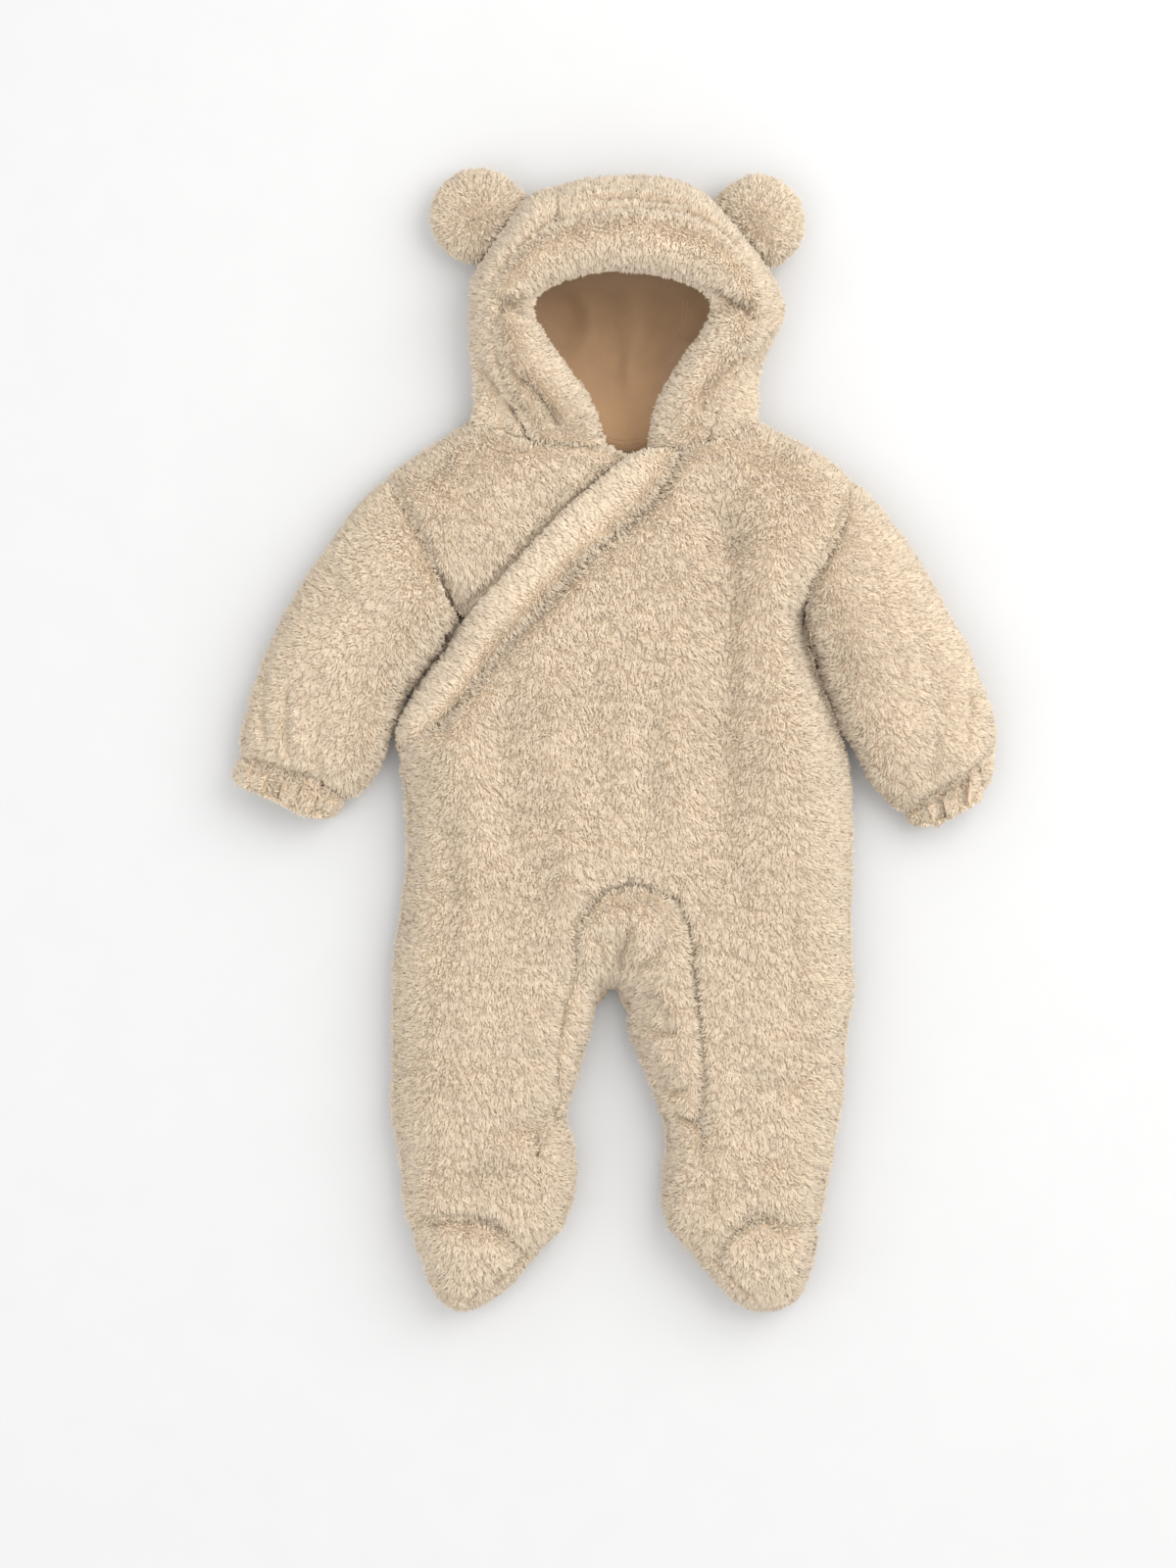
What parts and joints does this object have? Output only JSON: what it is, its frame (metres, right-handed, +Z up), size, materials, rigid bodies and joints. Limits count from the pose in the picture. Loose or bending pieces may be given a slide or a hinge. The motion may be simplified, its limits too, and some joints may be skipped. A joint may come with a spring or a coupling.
{
  "type": "faux fur pramsuit",
  "caption": "Baby's one-piece hooded pramsuit in tan faux fur with round ears, a slanting wrap front, long sleeves and closed feet, laid flat on its back.",
  "frame": {"origin": "centre of the suit's outline on the surface it lies on", "axes": "+X towards the wearer's left sleeve, +Y from the feet to the hood, +Z up out of the front"},
  "size_m": [0.471, 0.7026, 0.0617],
  "materials": {
    "faux_fur": "deep curly pile, matt with a soft sheen",
    "lining_jersey": "smooth brushed jersey"
  },
  "bodies": {
    "root": {"back_panel": "faux_fur", "front_over_wrap": "faux_fur", "front_under_wrap": "faux_fur", "wrap_band": "faux_fur", "leg_gusset": "faux_fur", "heel_left": "faux_fur", "heel_right": "faux_fur", "toe_cap_left": "faux_fur", "toe_cap_right": "faux_fur", "sole_left": "faux_fur", "sole_right": "faux_fur", "sleeve_left": "faux_fur", "sleeve_right": "faux_fur", "cuff_left": "faux_fur", "cuff_right": "faux_fur", "hood_rim": "faux_fur", "hood_side_left": "faux_fur", "hood_side_right": "faux_fur", "hood_centre": "faux_fur", "hood_lining": "lining_jersey", "ear_left": "faux_fur", "ear_right": "faux_fur"}
  },
  "joints": []
}
